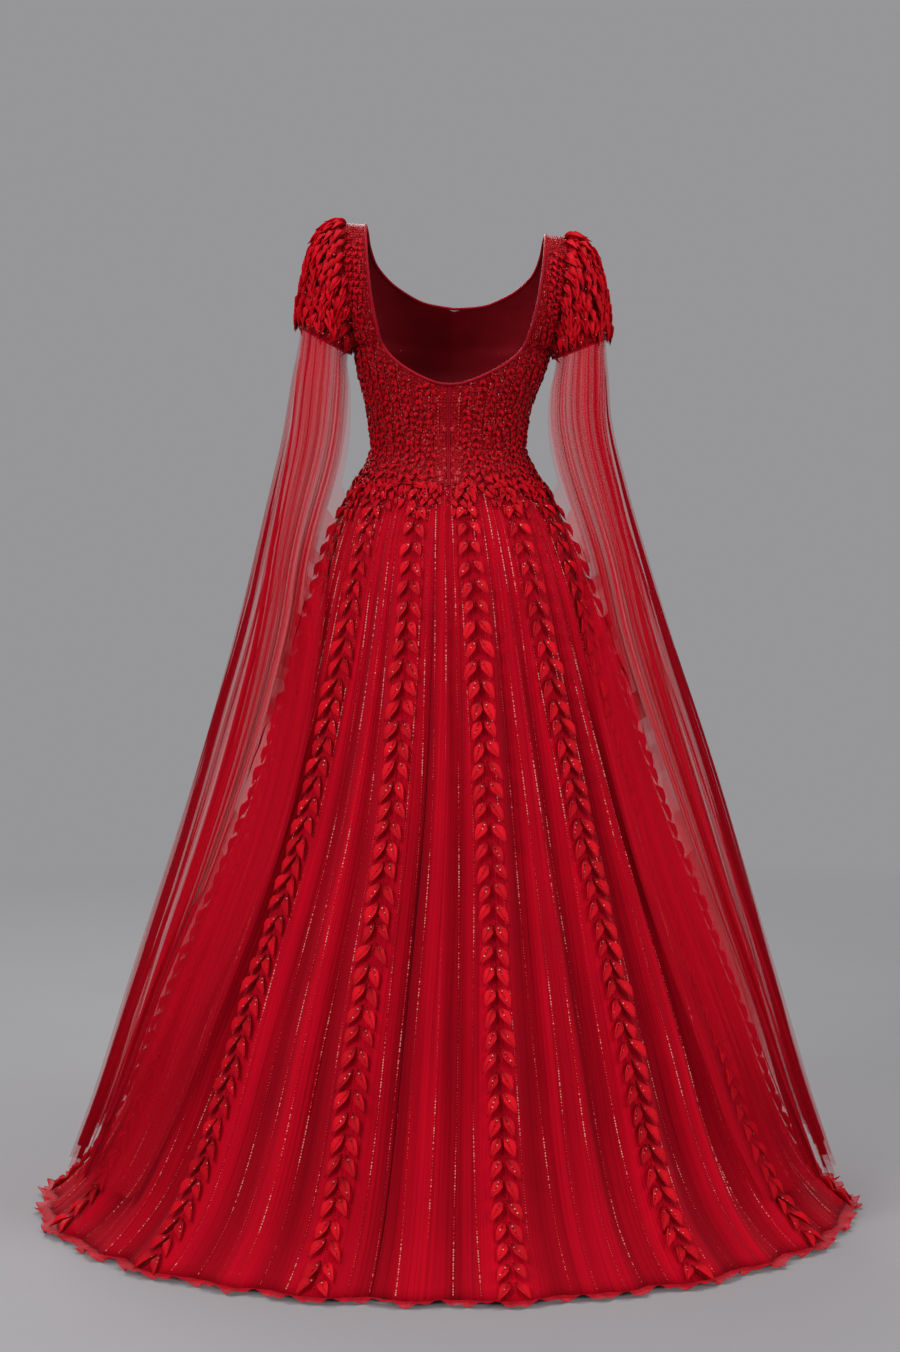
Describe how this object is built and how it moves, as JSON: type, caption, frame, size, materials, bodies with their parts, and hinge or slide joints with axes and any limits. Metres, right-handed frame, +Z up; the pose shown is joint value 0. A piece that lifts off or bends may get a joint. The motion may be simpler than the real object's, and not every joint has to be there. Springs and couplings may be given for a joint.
{
  "type": "ball gown",
  "caption": "Full-length ball gown with an open beaded back, petal cap sleeves, sheer sleeve drapes and leaf vines down a full skirt.",
  "frame": {"origin": "between the two shoulder straps, 1.49 m above the floor that the hem reaches, where the wearer's shoulders hold the gown", "axes": "+Z up; the gown's front faces -Y and its open back faces +Y; the wearer's left is +X"},
  "size_m": [1.2721, 1.2761, 1.5073],
  "materials": {
    "beaded_cloth": "tulle over satin, closely beaded and sequinned",
    "satin_binding": "smooth satin",
    "petal_satin": "satin petals edged with beads",
    "sheer_tulle": "fine sheer tulle, gathered in layers",
    "skirt_tulle": "layers of matte tulle over satin",
    "leaf_satin": "soft satin leaves",
    "zip_tape": "woven tape",
    "red_beads": "faceted red beads and sequins"
  },
  "bodies": {
    "root": {"back_zip": "zip_tape", "bodice_back_left": "beaded_cloth", "bodice_back_right": "beaded_cloth", "bodice_front": "beaded_cloth", "hem_edging": "sheer_tulle", "leaf_vine_01": "leaf_satin", "leaf_vine_02": "leaf_satin", "leaf_vine_03": "leaf_satin", "leaf_vine_04": "leaf_satin", "leaf_vine_05": "leaf_satin", "leaf_vine_06": "leaf_satin", "leaf_vine_07": "leaf_satin", "leaf_vine_08": "leaf_satin", "leaf_vine_09": "leaf_satin", "leaf_vine_10": "leaf_satin", "leaf_vine_11": "leaf_satin", "leaf_vine_12": "leaf_satin", "leaf_vine_13": "leaf_satin", "leaf_vine_14": "leaf_satin", "neck_binding": "satin_binding", "skirt_back_left": "skirt_tulle", "skirt_back_right": "skirt_tulle", "skirt_front_left": "skirt_tulle", "skirt_front_right": "skirt_tulle", "sleeve_cap_left": "petal_satin", "sleeve_cap_right": "petal_satin", "sleeve_drape_left": "sheer_tulle", "sleeve_drape_right": "sheer_tulle"}
  },
  "joints": []
}
